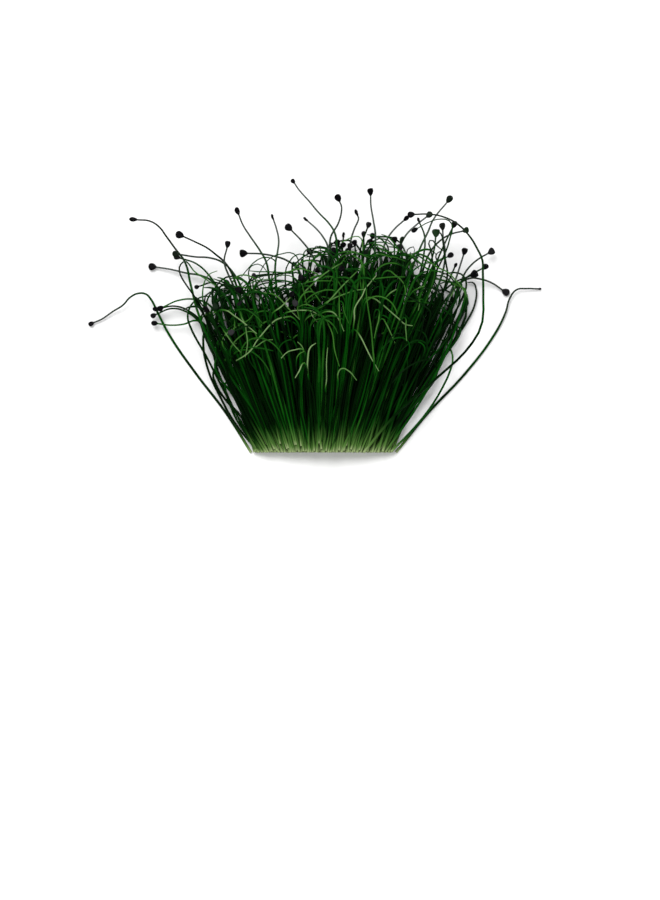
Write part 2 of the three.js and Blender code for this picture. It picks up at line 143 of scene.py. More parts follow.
# sprouts that bend over on top of the pile: tone, thickness, hull length or 0, and the x and y that
# the bend passes, from where the stem comes up to its tip
archRoutes = [
    (0.95, 0.85, 0, [(-10, -1), (-13.5, -1), (-17, -2), (-20, -4.5), (-23, -8), (-25.5, -11),
        (-28, -15), (-31, -17.5), (-34.5, -19.5)]),
    (0.95, 0.8, 0, [(-42.5, 1.5), (-38.5, 2), (-35.5, 0), (-32, -2.5), (-29, -5), (-25.5, -8)]),
    (0.88, 0.8, 0, [(-34.5, 2.5), (-33, 2), (-32, -1), (-30.5, -4), (-30, -7.5), (-29.5, -12),
        (-30.5, -18)]),
    (0.75, 0.75, 0, [(-33, -5), (-29, -2), (-26, 1.5)]),
    (0.8, 0.8, 0, [(-37, -16), (-35.5, -12), (-32.5, -9), (-29, -7), (-26.5, -7.5), (-25.5, -9.5)]),
    (0.85, 0.75, 0, [(-29, -16), (-25, -13), (-22, -11), (-18.5, -10.5)]),
    (0.85, 0.75, 0, [(-41.5, -4.5), (-39.5, -7), (-36, -12), (-32.5, -16)]),
    (0.8, 0.7, 0, [(-36.5, -1.5), (-35.5, -1), (-35, -3.5), (-35.5, -7)]),
    (0.95, 0.7, 0, [(-5.5, -15), (-9.5, -15), (-12.5, -16), (-15, -18.5)]),
    (0.95, 0.8, 0, [(-19, 0), (-15, 3.5), (-11, 7.5)]),
    (0.85, 0.9, 0, [(-35.5, 11.5), (-29.5, 11.5), (-23, 9.5), (-18.5, 9), (-15.5, 7), (-12.5, 3.5),
        (-7, -2)]),
    (0.95, 0.8, 0, [(-14, 0), (-11, 1.5), (-5.5, 2), (-1.5, 1.5), (1.5, -0.5)]),
    (0.8, 0.7, 0, [(1, 2), (-1.5, 3.5), (-4.5, 4.5), (-7.5, 3.5)]),
    (0.95, 0.8, 0, [(-4.5, 1.5), (-3, 2), (-1.5, -0.5), (1, -3.5)]),
    (0.85, 0.9, 0, [(0, 1.5), (4, 4.5), (11, 12), (15.5, 16.5), (20.5, 21.5)]),
    (0.85, 0.75, 0, [(3, 4), (7.5, 7), (12.5, 9), (17, 10.5), (22, 11)]),
    (0.9, 0.8, 0, [(1.5, 0), (3, 1), (5, 1.5), (7.5, 1), (9.5, -1.5), (12, -7)]),
    (0.8, 0.85, 0, [(1.5, -1.5), (3.5, -1.5), (5.5, -4.5), (7, -8), (8, -15), (10, -22)]),
    (0.75, 1, 0, [(10.5, -6.5), (10, 2), (10, 10)]),
    (0.7, 0.9, 0, [(9.5, 5), (10.5, 6), (12, 1.5), (14, -3.5)]),
    (1, 0.8, 0, [(16, -5.5), (16.5, -1.5), (16.5, 2.5), (18, 5.5), (20, 8.5), (21, 11), (23, 13.5),
        (26, 17)]),
    (0.95, 0.85, 0, [(16, -6), (17, -6.5), (19.5, -10), (21.5, -14), (23.5, -18), (27, -24)]),
    (0.72, 1, 0, [(25, -23.5), (24.5, -15), (23.5, -4.5), (22, 5.5), (21.5, 11)]),
    (0.8, 0.8, 0, [(25.5, 2), (26.5, 2.5), (27, -1.5), (26, -5.5), (25, -10)]),
    (0.92, 0.9, 0, [(21, 7), (22.5, 7.5), (25, 7), (28.5, 4.5), (32, 1.5), (35.5, -1.5), (38.5, -4),
        (41.5, -4.5)]),
    (0.85, 0.8, 0, [(27.5, -2), (28.5, -1.5), (30, -3.5), (32, -7.5), (34, -12)]),
    (0.85, 0.8, 0, [(37, -1.5), (38, -1), (38.5, -5.5), (39, -11)]),
    (0.85, 0.75, 0, [(46.5, 5), (45, 7), (44.5, 4.5), (44, 2)]),
    (0.8, 0.8, 0, [(29, 18), (31, 19), (34, 17), (36, 15.5), (38, 12.5), (38.5, 8.5)]),
    (0.9, 0.8, 0, [(29, 6.5), (30, 7.5), (32, 9.5), (34.5, 11)]),
    (0.85, 0.7, 0, [(41, 9.5), (44, 11.5), (46.5, 12.5)]),
    (0.85, 0.7, 0, [(-5, -17), (-6, -13.5), (-8, -11.5)]),
    (0.8, 0.7, 0, [(-8.5, -20), (-7.5, -17), (-5, -15.5)]),
    (1, 0.8, 0, [(-4.5, -21), (-5, -20.5), (-7.5, -24.5), (-9, -27)]),
    (0.95, 1, 0, [(-3.5, -25.5), (-3.5, -18.5), (-2.5, -14), (0, -12)]),
    (0.9, 0.65, 0, [(4, -32), (4.5, -28), (4.5, -20), (5, -14)]),
    (0.85, 0.85, 0, [(9.5, -28.5), (9.5, -25), (11, -23), (14, -24), (17.5, -28)]),
    (0.55, 0.75, 0, [(-19, 16), (-17.5, 20), (-17.5, 23), (-20, 24.5), (-23, 24.5), (-26, 23),
        (-29.5, 19.5), (-32, 16.5)]),
    (0.5, 0.7, 0, [(-28.5, 14.5), (-28.5, 20), (-26.5, 21.5), (-24, 21.5), (-20, 17)]),
    (0.5, 0.7, 0, [(-7, 17), (-7.5, 21), (-8, 24.5), (-10.5, 26.5), (-15, 26), (-18.5, 25),
        (-21.5, 22.5), (-24.5, 17.5)]),
    (0.55, 0.75, 0, [(-13, 19), (-11.5, 22.5), (-9.5, 25), (-7, 26), (-4.5, 25.5), (-1.5, 24.5)]),
    (0.55, 0.75, 0, [(-5.5, 19), (-5.5, 24.5), (-4.5, 27.5), (1, 28.5), (4.5, 28), (9, 25.5)]),
    (0.4, 0.65, 0, [(-2.5, 25.5), (-1, 28), (0.5, 29.5), (1.5, 29), (2, 25)]),
    (0.7, 0.75, 0, [(7, 23.5), (9.5, 26), (12.5, 27), (16, 27), (19, 26), (23, 24.5)]),
    (0.8, 0.75, 0, [(19.5, 8.5), (19, 15), (19.5, 23), (20, 29), (19, 33), (16.5, 33.5), (14, 32.5),
        (11, 31)]),
    (0.7, 0.7, 0, [(24, 31), (27.5, 28), (31, 27), (34.5, 27), (38, 27.5)]),
    (0.75, 0.7, 0, [(23.5, 24.5), (27.5, 26), (31, 25), (35, 24.5)]),
    (0.65, 0.7, 0, [(25, 30.5), (28.5, 31), (31.5, 30.5), (34, 29), (37, 26.5)]),
    (0.35, 0.7, 0, [(39, 25), (39, 27.5), (41, 29), (42, 29), (42, 26.5)]),
    (0.5, 0.85, 3.3, [(56, 28), (57.5, 33), (58.5, 37.5), (57.5, 40), (53.5, 41), (48, 39.5),
        (43.5, 37)]),
    (0.6, 0.85, 3.2, [(40, 17), (43, 20), (46.5, 22), (49.5, 22.5), (53.5, 23.5), (56.5, 25)]),
    (0.8, 0.85, 0, [(43, 25.5), (46.5, 23.5), (49, 22.5), (52, 20.5), (56.5, 18.5), (60, 15),
        (63, 11.5), (65.5, 7)]),
    (0.85, 0.75, 0, [(62.5, 14), (60.5, 14), (59.5, 11), (58, 8)]),
    (0.3, 1, 0, [(56.5, 17), (56, 21.5), (55, 27), (54.5, 31), (53.5, 35), (51, 36.5)]),
    (0.3, 0.95, 0, [(50, 17), (50, 23), (49.5, 27), (49, 32), (52, 29.5), (54.5, 27.5)]),
    (0.3, 0.9, 0, [(52, 19), (52, 23), (51.5, 26), (54, 27.5)]),
    (0.75, 0.8, 0, [(-57, 23), (-52, 18.5), (-47.5, 15.5), (-43, 12.5)]),
    (0.75, 0.8, 0, [(-48.5, 5.5), (-48.5, 12.5), (-47.5, 15.5), (-46, 17.5), (-42.5, 19)]),
    (0.7, 0.75, 0, [(-30.5, 11), (-26, 14.5), (-22.5, 15), (-18, 15.5)]),
    (0.7, 0.75, 0, [(-26.5, 16.5), (-25, 16.5), (-22.5, 13), (-19, 10)]),
    (0.65, 0.75, 0, [(-20, 13.5), (-16.5, 16.5), (-13, 17), (-9.5, 16), (-7, 14)]),
    (0.75, 0.75, 0, [(-7, 12), (-3.5, 14), (1, 14.5), (6.5, 14.5)]),
    (0.7, 0.75, 0, [(5, 11), (7.5, 17), (10, 21), (13, 25)]),
    (0.75, 0.8, 0, [(-6.5, 13.5), (-5.5, 11), (-4, 4)]),
    (0.8, 0.7, 0, [(-4.5, 12.5), (-1, 9.5), (2, 5.5)]),
]

# stems side by side on top of the pile: x and y of their bend, how many, tone, and how far the first
# ones stand over the pile
columnPlaces = [
    (2.6, -2, 3, 0.54, 4), (15.5, 6, 4, 0.6), (41, 16, 3, 0.6), (50.5, 14, 2, 0.58), (20.5, 14, 2, 0.7),
    (-18.5, 2, 2, 0.5), (-36, 8, 3, 0.5), (-44, 0, 3, 0.42), (-27, 8, 2, 0.55), (30, 8, 2, 0.5),
    (-6, 6, 2, 0.55), (9, 12, 2, 0.6),
]

stemShape = {
    "footRadius": 0.58, "tuftFootRadius": 0.5, "kneeRadius": 0.5, "tipRadius": 0.36, "pointRadius": 0.18,
    "cutWall": 0.3, "cutRim": 0.12, "cutHollow": 0.003, "straightShare": 0.58, "straightRings": 0.25,
}
# sides and rings of each kind of straight stem
stemDetail = {"longStem": (8, 64), "archStem": (6, 38), "fillStem": (5, 16), "floorStem": (5, 10)}


def clearSelection():
    if bpy.context.object and bpy.context.object.mode != "OBJECT":
        bpy.ops.object.mode_set(mode="OBJECT")
    bpy.ops.object.select_all(action="DESELECT")


def pick(piece):
    clearSelection()
    piece.select_set(True)
    bpy.context.view_layer.objects.active = piece


def pickVertices(mesh, test):
    # selects the vertices that pass the test, in edit mode
    bpy.ops.object.mode_set(mode="EDIT")
    bpy.ops.mesh.select_mode(type="VERT")
    bpy.ops.mesh.select_all(action="DESELECT")
    bpy.ops.object.mode_set(mode="OBJECT")
    for vertex in mesh.vertices:
        vertex.select = test(vertex.co)
    bpy.ops.object.mode_set(mode="EDIT")


def straightStem(name, sides, rings):
    # one metre long on X with a radius of one millimetre, cut at x = 0
    bpy.ops.mesh.primitive_circle_add(
        vertices=sides, radius=mm, fill_type="NGON", rotation=(0, math.pi / 2, 0))
    stem = bpy.context.object
    stem.name = name
    bpy.ops.object.transform_apply(location=True, rotation=True, scale=True)
    mesh = stem.data
    bpy.ops.object.mode_set(mode="EDIT")
    bpy.ops.mesh.select_all(action="SELECT")
    # most of the rings are in the last part, where a stem bends
    straight = round(rings * stemShape["straightRings"])
    share = stemShape["straightShare"]
    places = [share * ring / straight for ring in range(straight)]
    places += [share + (1 - share) * ring / (rings - straight) for ring in range(rings - straight + 1)]
    for before, after in zip(places, places[1:]):
        bpy.ops.mesh.extrude_region_move(TRANSFORM_OT_translate={"value": (after - before, 0, 0)})
    bpy.ops.mesh.select_all(action="SELECT")
    bpy.ops.mesh.normals_make_consistent(inside=False)
    bpy.ops.object.mode_set(mode="OBJECT")
    # the cut end is hollow
    pickVertices(mesh, lambda place: place.x < 0.0001)
    bpy.ops.mesh.select_mode(type="FACE")
    bpy.ops.mesh.inset(thickness=stemShape["cutWall"] * mm, depth=0)
    bpy.ops.mesh.inset(thickness=stemShape["cutRim"] * mm, depth=-stemShape["cutHollow"])
    bpy.ops.object.mode_set(mode="OBJECT")
    along = mesh.attributes.new("along", "FLOAT", "POINT")
    for vertex, value in zip(mesh.vertices, along.data):
        value.value = vertex.co.x
    while mesh.uv_layers:
        mesh.uv_layers.remove(mesh.uv_layers[0])
    around = mesh.uv_layers.new(name="stemMap")
    for face in mesh.polygons:
        places = [mesh.vertices[index].co for index in face.vertices]
        deepest = max(place.x for place in places)
        if deepest < stemShape["cutHollow"] + mm or abs(face.normal.x) > 0.9:
            # the cut face and its hollow are laid flat at the start of the strip
            for loop, place in zip(face.loop_indices, places):
                around.data[loop].uv = (0.5 + place.y * 380, 0.01 + place.z * 8)
            continue
        turns = [math.atan2(place.z, place.y) / (2 * math.pi) % 1 for place in places]
        if max(turns) - min(turns) > 0.5:
            turns = [turn + 1 if turn < 0.5 else turn for turn in turns]
        for loop, turn, place in zip(face.loop_indices, turns, places):
            around.data[loop].uv = (turn, 0.03 + 0.97 * place.x)
    bpy.ops.object.shade_smooth_by_angle(angle=math.radians(75))
    clearSelection()
    stem.hide_set(True)
    return stem


def makeRoute():
    bpy.ops.curve.primitive_bezier_curve_add()
    route = bpy.context.object
    route.name = "route"
    route.data.dimensions = "3D"
    route.data.resolution_u = 10
    route.data.use_stretch = True
    route.data.use_deform_bounds = True
    clearSelection()
    return route


def between(stops, place):
    # the value at a place, from stops of place and value
    for (left, low), (right, high) in zip(stops, stops[1:]):
        if left <= place <= right:
            return low + (high - low) * (place - left) / (right - left)
    return stops[0][1] if place < stops[0][0] else stops[-1][1]


def bentStem(straight, route, points, radii, tones, number, count):
    # the points are the route's, in millimetres; the tones are given at places along the stem, from
    # 0 to 1; number and count place the stem's own strip
    curve = route.data
    curve.splines.clear()
    spline = curve.splines.new("BEZIER")
    spline.bezier_points.add(len(points) - 1)
    for knot, point, radius in zip(spline.bezier_points, points, radii):
        knot.co = Vector(point) * mm
        knot.radius = radius
        knot.handle_left_type = "AUTO"
        knot.handle_right_type = "AUTO"
    stem = bpy.data.objects.new("stem", straight.data.copy())
    bpy.context.collection.objects.link(stem)
    mesh = stem.data
    strip = mesh.uv_layers.new(name="OFBake", do_init=False)
    wide = 0.8 / count
    for source, target in zip(mesh.uv_layers["stemMap"].data, strip.data):
        target.uv = ((number + 0.03) / count + source.uv[0] * wide, source.uv[1] * 0.98 + 0.01)
    shade = mesh.attributes.new("tone", "FLOAT", "POINT")
    for value, along in zip(shade.data, mesh.attributes["along"].data):
        value.value = between(tones, along.value)
    pick(stem)
    bpy.ops.object.modifier_add(type="CURVE")
    bend = stem.modifiers[-1]
    bend.object = route
    bend.deform_axis = "POS_X"
    bpy.ops.object.modifier_apply(modifier=bend.name)
    # it lies on the surface and not in it
    for vertex in mesh.vertices:
        vertex.co.z = max(vertex.co.z, 0)
    return stem


def joined(parts, name):
    clearSelection()
    for part in parts:
        part.select_set(True)
    bpy.context.view_layer.objects.active = parts[0]
    if len(parts) > 1:
        bpy.ops.object.join()
    piece = bpy.context.object
    piece.name = name
    piece.data.name = name
    return piece


def reaches(points):
    # how far along the route each point is
    lengths = [0.0]
    for before, after in zip(points, points[1:]):
        lengths.append(lengths[-1] + (Vector(after) - Vector(before)).length)
    return lengths


def tapered(points, hasHull, foot, thick=1.0, knee=None):
    # radius at each point: full at the foot, thinner past the knee, fine at the tip
    lengths = reaches(points)
    kneeAt = lengths[knee] if knee else lengths[-1] * 0.7
    middle = stemShape["kneeRadius"] * thick
    tip = stemShape["tipRadius"] * thick
    radii = []
    for length in lengths:
        if length <= kneeAt:
            radii.append(foot + (middle - foot) * (length / kneeAt) ** 1.2)
        else:
            part = (length - kneeAt) / (lengths[-1] - kneeAt)
            radii.append(middle + (tip - middle) * part ** 0.7)
    if not hasHull:
        radii[-1] = stemShape["pointRadius"]
    return radii


# half widths of a hull at each of its seven rings, from the neck, as shares of a round one
hullShape = {
    "length": 3.4, "width": 3.0, "thickness": 1.5, "segments": 12, "wrinkle": 0.16, "wrinkleSize": 1.1,
    "straightSide": 0.3, "hollowWidth": 0.27, "hollow": 0.34, "neck": 0.35, "broad": (0.88, 1.1),
    "drop": (0.5, 0.6, 0.8, 0.96, 1.04, 1.06, 1.1),
    "wedge": (0.5, 0.55, 0.72, 0.94, 1.14, 1.32, 1.7),
}


def seedHull(name, widths):
    # lies along +Y from its neck at the stem, flat in Z
    length = hullShape["length"] * mm
    width = hullShape["width"] * mm
    bpy.ops.mesh.primitive_uv_sphere_add(
        segments=hullShape["segments"], ring_count=len(widths) + 1, radius=0.5,
        rotation=(math.pi / 2, 0, 0))
    hull = bpy.context.object
    hull.name = name
    bpy.ops.object.transform_apply(location=True, rotation=True, scale=True)
    mesh = hull.data
    bpy.ops.object.mode_set(mode="EDIT")
    bpy.ops.mesh.select_all(action="SELECT")
    bpy.ops.transform.resize(value=(width, length, hullShape["thickness"] * mm))
    bpy.ops.object.mode_set(mode="OBJECT")
    for ring, share in enumerate(widths, 1):
        level = -math.cos(math.pi * ring / (len(widths) + 1)) * length / 2
        pickVertices(mesh, lambda place: abs(place.y - level) < 0.05 * mm)
        bpy.ops.transform.resize(value=(share, 1, 0.4 + 0.6 * share), center_override=(0, level, 0))
        bpy.ops.object.mode_set(mode="OBJECT")
    # one side is straighter, and the face that was against the next seed is hollow
    side = hullShape["straightSide"] * width
    pickVertices(mesh, lambda place: place.x > side)
    bpy.ops.transform.resize(value=(0.6, 1.06, 1), center_override=(side, 0, 0))
    bpy.ops.object.mode_set(mode="OBJECT")
    middle = hullShape["hollowWidth"] * width
    pickVertices(mesh, lambda place: place.z > 0 and place.xy.length < middle)
    bpy.ops.transform.translate(value=(0, 0, -hullShape["hollow"] * mm))
    bpy.ops.object.mode_set(mode="OBJECT")
    wrinkles = bpy.data.textures.new(name + "Wrinkles", "CLOUDS")
    wrinkles.noise_scale = hullShape["wrinkleSize"] * mm
    bpy.ops.object.modifier_add(type="DISPLACE")
    bump = hull.modifiers[-1]
    bump.texture = wrinkles
    bump.strength = hullShape["wrinkle"] * mm
    bump.mid_level = 0.5
    bpy.ops.object.modifier_apply(modifier=bump.name)
    bpy.ops.object.mode_set(mode="EDIT")
    bpy.ops.mesh.select_all(action="SELECT")
    bpy.ops.transform.translate(value=(0, length / 2, 0))
    bpy.ops.mesh.normals_make_consistent(inside=False)
    bpy.ops.object.mode_set(mode="OBJECT")
    bpy.ops.object.shade_smooth_by_angle(angle=math.radians(60))
    clearSelection()
    hull.hide_set(True)
    return hull


def placedHull(pattern, tip, heading, length, roll, tint=None):
    # tip and heading of the stem, in millimetres; the neck slips over the tip; the tint is how
    # fresh and how faded the hull is, from 0 to 1, and without one it is drawn
    heading = Vector(heading).normalized()
    across = heading.cross(Vector((0, 0, 1)))
    if across.length < 0.2:
        across = heading.cross(Vector((0, 1, 0)))
    across.normalize()
    up = across.cross(heading)
    basis = Matrix((across, heading, up)).transposed().to_4x4()
    size = length / hullShape["length"]
    broad = size * dice.uniform(*hullShape["broad"])
    turn = Matrix.Rotation(math.radians(roll), 4, "Y")
    place = Matrix.Translation((Vector(tip) - heading * hullShape["neck"]) * mm)
    hull = bpy.data.objects.new("hull", pattern.data.copy())
    bpy.context.collection.objects.link(hull)
    mesh = hull.data
    mesh.transform(place @ basis @ turn @ Matrix.Diagonal((broad, size, size, 1)))
    sunk = min(vertex.co.z for vertex in mesh.vertices)
    if sunk < 0:
        mesh.transform(Matrix.Translation((0, 0, -sunk)))
    # one hull in ten is a little fresh and one in five is faded
    kind = dice.random()
    tint = tint or (max(0, 0.5 - kind * 5), max(0, kind * 5 - 4))
    for name, amount in zip(("fresh", "faded"), tint):
        shade = mesh.attributes.new(name, "FLOAT", "POINT")
        for value in shade.data:
            value.value = amount
    return hull


def node(tree, kind, links=None, values=None, **settings):
    # links go to inputs by name or number, values are the sockets' constants
    made = tree.nodes.new(kind)
    for key, setting in settings.items():
        setattr(made, key, setting)
    for name, value in (values or {}).items():
        made.inputs[name].default_value = value
    for name, source in (links or {}).items():
        tree.links.new(source, made.inputs[name])
    return made


def ramp(tree, source, stops):
    made = node(tree, "ShaderNodeValToRGB", {"Fac": source})
    marks = made.color_ramp.elements
    while len(marks) < len(stops):
        marks.new(0.5)
    for mark, (place, colour) in zip(marks, stops):
        mark.position = place
        mark.color = (*colour, 1)
    return made


def mixedColour(tree, share, first, second):
    # sockets 6 and 7 are the two colours, and output 2 is the mixed one
    return node(tree, "ShaderNodeMix", {0: share, 6: first, 7: second}, data_type="RGBA").outputs[2]


def streakGroup():
    # fine streaks that run along a stem
    group = bpy.data.node_groups.new("alongStreaks", "ShaderNodeTree")
    group.interface.new_socket("Map", in_out="INPUT", socket_type="NodeSocketVector")
    group.interface.new_socket("Streaks around", in_out="INPUT", socket_type="NodeSocketFloat")
    group.interface.new_socket("Streak length", in_out="INPUT", socket_type="NodeSocketFloat")
    group.interface.new_socket("Streaks", in_out="OUTPUT", socket_type="NodeSocketFloat")
    start = group.nodes.new("NodeGroupInput")
    end = group.nodes.new("NodeGroupOutput")
    stretch = node(group, "ShaderNodeCombineXYZ", {
        "X": start.outputs["Streaks around"], "Y": start.outputs["Streak length"]}, {"Z": 1.0})
    scaled = node(group, "ShaderNodeVectorMath", {
        0: start.outputs["Map"], 1: stretch.outputs[0]}, operation="MULTIPLY")
    noise = node(group, "ShaderNodeTexNoise", {"Vector": scaled.outputs[0]},
                 {"Scale": 1.0, "Detail": 3.0, "Roughness": 0.6})
    group.links.new(noise.outputs["Fac"], end.inputs["Streaks"])
    return group


def mottleGroup():
    # soft blotches in the piece's own space
    group = bpy.data.node_groups.new("softMottle", "ShaderNodeTree")
    group.interface.new_socket("Blotch size", in_out="INPUT", socket_type="NodeSocketFloat")
    group.interface.new_socket("Mottle", in_out="OUTPUT", socket_type="NodeSocketFloat")
    start = group.nodes.new("NodeGroupInput")
    end = group.nodes.new("NodeGroupOutput")
    coords = group.nodes.new("ShaderNodeTexCoord")
    count = node(group, "ShaderNodeMath", {1: start.outputs["Blotch size"]}, {0: 1.0},
                 operation="DIVIDE")
    noise = node(group, "ShaderNodeTexNoise", {
        "Vector": coords.outputs["Object"], "Scale": count.outputs[0]},
                 {"Detail": 4.0, "Roughness": 0.65})
    group.links.new(noise.outputs["Fac"], end.inputs["Mottle"])
    return group


def grouped(tree, group, values):
    made = tree.nodes.new("ShaderNodeGroup")
    made.node_tree = group
    for name, value in values.items():
        made.inputs[name].default_value = value
    return made


# colours by tone from the darkest stem to the palest, then by place along the stem; the near-black darkest
# tones are painted shade, stems as dark as the shaded gaps between them, and the palest tones are partly
# the stems' paler green and partly painted highlight
sproutFinish = {
    "tones": [(0.0, (0.0001, 0.0016, 0.0001)), (0.3, (0.0006, 0.0078, 0.0005)),
              (0.58, (0.0022, 0.056, 0.0022)), (0.8, (0.036, 0.130, 0.017)), (1.0, (0.17, 0.27, 0.11))],
    "footBands": [(0.0, (0.26, 0.33, 0.15)), (0.03, (0.09, 0.19, 0.04)), (0.12, (0.014, 0.08, 0.008))],
    "footShare": [(0.0, (1, 1, 1)), (0.04, (0.7, 0.7, 0.7)), (0.15, (0, 0, 0))],
    "tips": [(0.2, (0.008, 0.013, 0.0075)), (0.45, (0.035, 0.044, 0.037)), (0.65, (0.09, 0.10, 0.094))],
    "tipFrom": 0.72, "tipFull": 0.94, "greyUpTo": 2.0, "roughness": 0.36, "ribs": 0.25, "shine": 0.02,
    "blotch": 0.012, "wander": 0.14, "streaksAround": 14.0, "streakLength": 5.0,
    "darkStreak": 0.7, "paleStreak": 1.35,
}
# the tufts' tips stay green, and only darker stems have them
tuftTips = [(0.0, (0.0008, 0.005, 0.0008)), (0.7, (0.004, 0.022, 0.004))]
tuftFinish = {**sproutFinish, "tips": tuftTips, "tipFrom": 0.62, "tipFull": 0.92, "greyUpTo": 0.75}


def sproutMaterial(name, finish, streaks, mottle):
    look = bpy.data.materials.new(name)
    look.use_nodes = True
    tree = look.node_tree
    shader = tree.nodes["Principled BSDF"]
    along = node(tree, "ShaderNodeAttribute", attribute_name="along").outputs["Fac"]
    tone = node(tree, "ShaderNodeAttribute", attribute_name="tone").outputs["Fac"]
    blotch = grouped(tree, mottle, {"Blotch size": finish["blotch"]})
    lines = grouped(tree, streaks, {
        "Streaks around": finish["streaksAround"], "Streak length": finish["streakLength"]})
    stemMap = node(tree, "ShaderNodeUVMap", uv_map="stemMap")
    tree.links.new(stemMap.outputs[0], lines.inputs["Map"])
    # tone wanders a little along each stem
    wander = node(tree, "ShaderNodeMapRange", {"Value": blotch.outputs[0]},
                  {3: -finish["wander"], 4: finish["wander"]})
    shade = node(tree, "ShaderNodeMath", {0: tone, 1: wander.outputs[0]}, operation="ADD")
    body = ramp(tree, shade.outputs[0], finish["tones"]).outputs[0]
    foot = ramp(tree, along, finish["footBands"]).outputs[0]
    footShare = ramp(tree, along, finish["footShare"]).outputs[0]
    body = mixedColour(tree, footShare, body, foot)
    # towards the tip a stem turns dull, up to a given tone
    tipShare = node(tree, "ShaderNodeMapRange", {"Value": along},
                    {1: finish["tipFrom"], 2: finish["tipFull"], 3: 0.0, 4: 1.0})
    dull = node(tree, "ShaderNodeMapRange", {"Value": tone},
                {1: finish["greyUpTo"] - 0.45, 2: finish["greyUpTo"], 3: 1.0, 4: 0.0})
    tipShare = node(tree, "ShaderNodeMath", {0: tipShare.outputs[0], 1: dull.outputs[0]},
                    operation="MULTIPLY")
    tip = ramp(tree, tone, finish["tips"]).outputs[0]
    body = mixedColour(tree, tipShare.outputs[0], body, tip)
    streak = node(tree, "ShaderNodeMapRange", {"Value": lines.outputs[0]},
                  {1: 0.3, 2: 0.7, 3: finish["darkStreak"], 4: finish["paleStreak"]})
    colour = node(tree, "ShaderNodeHueSaturation", {"Color": body, "Value": streak.outputs[0]})
    tree.links.new(colour.outputs[0], shader.inputs["Base Color"])
    rough = node(tree, "ShaderNodeMapRange", {"Value": lines.outputs[0]},
                 {3: finish["roughness"] - 0.08, 4: finish["roughness"] + 0.12})
    tree.links.new(rough.outputs[0], shader.inputs["Roughness"])
    bump = node(tree, "ShaderNodeBump", {"Height": lines.outputs[0]},
                {"Strength": finish["ribs"], "Distance": 0.0001})
    tree.links.new(bump.outputs[0], shader.inputs["Normal"])
    shader.inputs["Specular IOR Level"].default_value = finish["shine"]
    return look


hullFinish = {
    "skin": [(0.4, (0.0002, 0.0002, 0.0004)), (0.75, (0.0034, 0.003, 0.0045))],
    "fresh": (0.011, 0.032, 0.011), "faded": (0.022, 0.021, 0.023), "roughness": 0.45, "shine": 0.04,
    "blotch": 0.0011, "grain": 0.00035, "bump": 0.5,
}


def hullMaterial(name, finish, mottle):
    look = bpy.data.materials.new(name)
    look.use_nodes = True
    tree = look.node_tree
    shader = tree.nodes["Principled BSDF"]
    blotch = grouped(tree, mottle, {"Blotch size": finish["blotch"]})
    grain = grouped(tree, mottle, {"Blotch size": finish["grain"]})
    colour = ramp(tree, blotch.outputs[0], finish["skin"]).outputs[0]
    for kind in ("fresh", "faded"):
        share = node(tree, "ShaderNodeAttribute", attribute_name=kind)
        paint = node(tree, "ShaderNodeRGB")
        paint.outputs[0].default_value = (*finish[kind], 1)
        colour = mixedColour(tree, share.outputs["Fac"], colour, paint.outputs[0])
    tree.links.new(colour, shader.inputs["Base Color"])
    rough = node(tree, "ShaderNodeMapRange", {"Value": blotch.outputs[0]},
                 {3: finish["roughness"] - 0.14, 4: finish["roughness"] + 0.2})
    tree.links.new(rough.outputs[0], shader.inputs["Roughness"])
    bump = node(tree, "ShaderNodeBump", {"Height": grain.outputs[0]},
                {"Strength": finish["bump"], "Distance": 0.0002})
    tree.links.new(bump.outputs[0], shader.inputs["Normal"])
    shader.inputs["Specular IOR Level"].default_value = finish["shine"]
    return look


floorSetup = {"size": 40, "colour": (0.88, 0.88, 0.88), "roughness": 0.8, "shine": 0.1}


def floorMaterial():
    look = bpy.data.materials.new("paleFloor")
    look.use_nodes = True
    shader = look.node_tree.nodes["Principled BSDF"]
    shader.inputs["Base Color"].default_value = (*floorSetup["colour"], 1)
    shader.inputs["Roughness"].default_value = floorSetup["roughness"]
    shader.inputs["Specular IOR Level"].default_value = floorSetup["shine"]
    return look


# the height that the camera sees and the place that it looks down on are in millimetres
cameraSetup = {"lens": 250, "sensor": 36, "seenHeight": 387, "aim": (6, -58, 21), "near": 0.01, "far": 20}

bpy.ops.object.camera_add(rotation=(0, 0, 0))
camera = bpy.context.object
camera.data.lens = cameraSetup["lens"]
camera.data.sensor_width = cameraSetup["sensor"]
aimX, aimY, aimZ = cameraSetup["aim"]
away = cameraSetup["lens"] / cameraSetup["sensor"] * cameraSetup["seenHeight"]
camera.location = (aimX * mm, aimY * mm, (aimZ + away) * mm)
camera.data.clip_start = cameraSetup["near"]
camera.data.clip_end = cameraSetup["far"]
bpy.context.scene.camera = camera

bpy.ops.mesh.primitive_plane_add(size=floorSetup["size"])
floor = bpy.context.object
floor.name = "floor"
floor.data.materials.append(floorMaterial())

# far soft lamps, so that the floor is as bright at its edges
lightSetup = [
    {"from": (-0.25, 0.55, 1), "softness": 35, "power": 3.0},
    {"from": (0.5, -0.3, 1), "softness": 60, "power": 0.5},
]
for lamp in lightSetup:
    bpy.ops.object.light_add(type="SUN", location=lamp["from"])
    light = bpy.context.object
    light.data.angle = math.radians(lamp["softness"])
    light.data.energy = lamp["power"]
    light.rotation_euler = Vector(lamp["from"]).to_track_quat("Z", "Y").to_euler()

skySetup = {"light": 0.5, "seen": 1}
world = bpy.data.worlds.new("studio")
bpy.context.scene.world = world
world.use_nodes = True
sky = world.node_tree.nodes["Background"]
sky.inputs["Color"].default_value = (1, 1, 1, 1)
seen = node(world.node_tree, "ShaderNodeLightPath")
glow = node(world.node_tree, "ShaderNodeMapRange", {"Value": seen.outputs["Is Camera Ray"]},
            {3: skySetup["light"], 4: skySetup["seen"]})
world.node_tree.links.new(glow.outputs[0], sky.inputs["Strength"])
bpy.context.scene.view_settings.view_transform = "Standard"
print("camera, floor and light ready")

